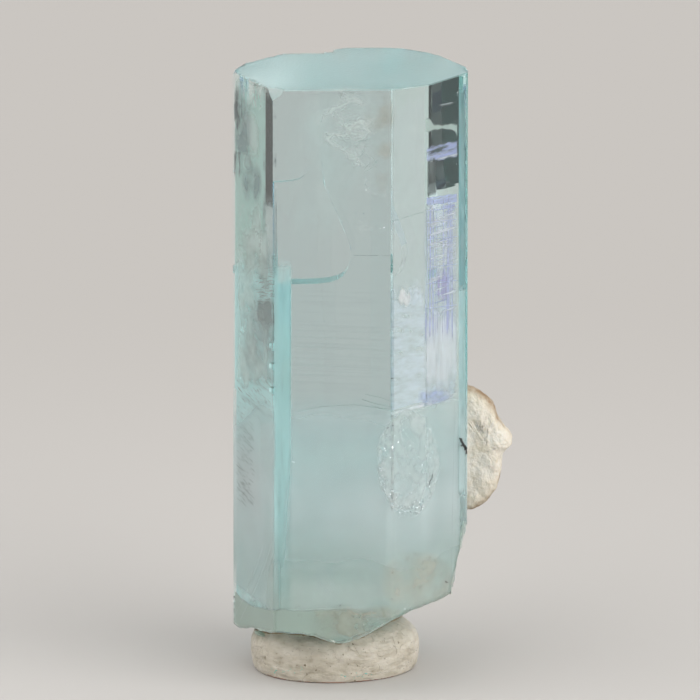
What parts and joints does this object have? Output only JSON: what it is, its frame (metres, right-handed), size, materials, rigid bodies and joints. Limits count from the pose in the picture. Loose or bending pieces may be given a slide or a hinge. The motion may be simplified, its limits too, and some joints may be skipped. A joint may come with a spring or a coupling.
{
  "type": "aquamarine crystal",
  "caption": "Natural aquamarine prism with a flat end and a small feldspar blade, held upright for display by a pressed lump of putty.",
  "frame": {"origin": "on the crystal's long axis, at the level of the surface that the putty rests on", "axes": "+Z along the crystal, towards its flat end; -Y towards the broad front face; the feldspar blade is on the +X side"},
  "size_m": [0.018, 0.0153, 0.0392],
  "materials": {
    "beryl": "clear pale blue-green crystal, glassy faces, milky lower part, rough where broken",
    "feldspar": "cream-white, rough, with iron-brown stains along its edge",
    "putty": "off-white display putty, satin, with fine lint and specks pressed in"
  },
  "bodies": {
    "root": {"aquamarine_prism": "beryl", "feldspar_blade": "feldspar", "display_putty": "putty"}
  },
  "joints": []
}
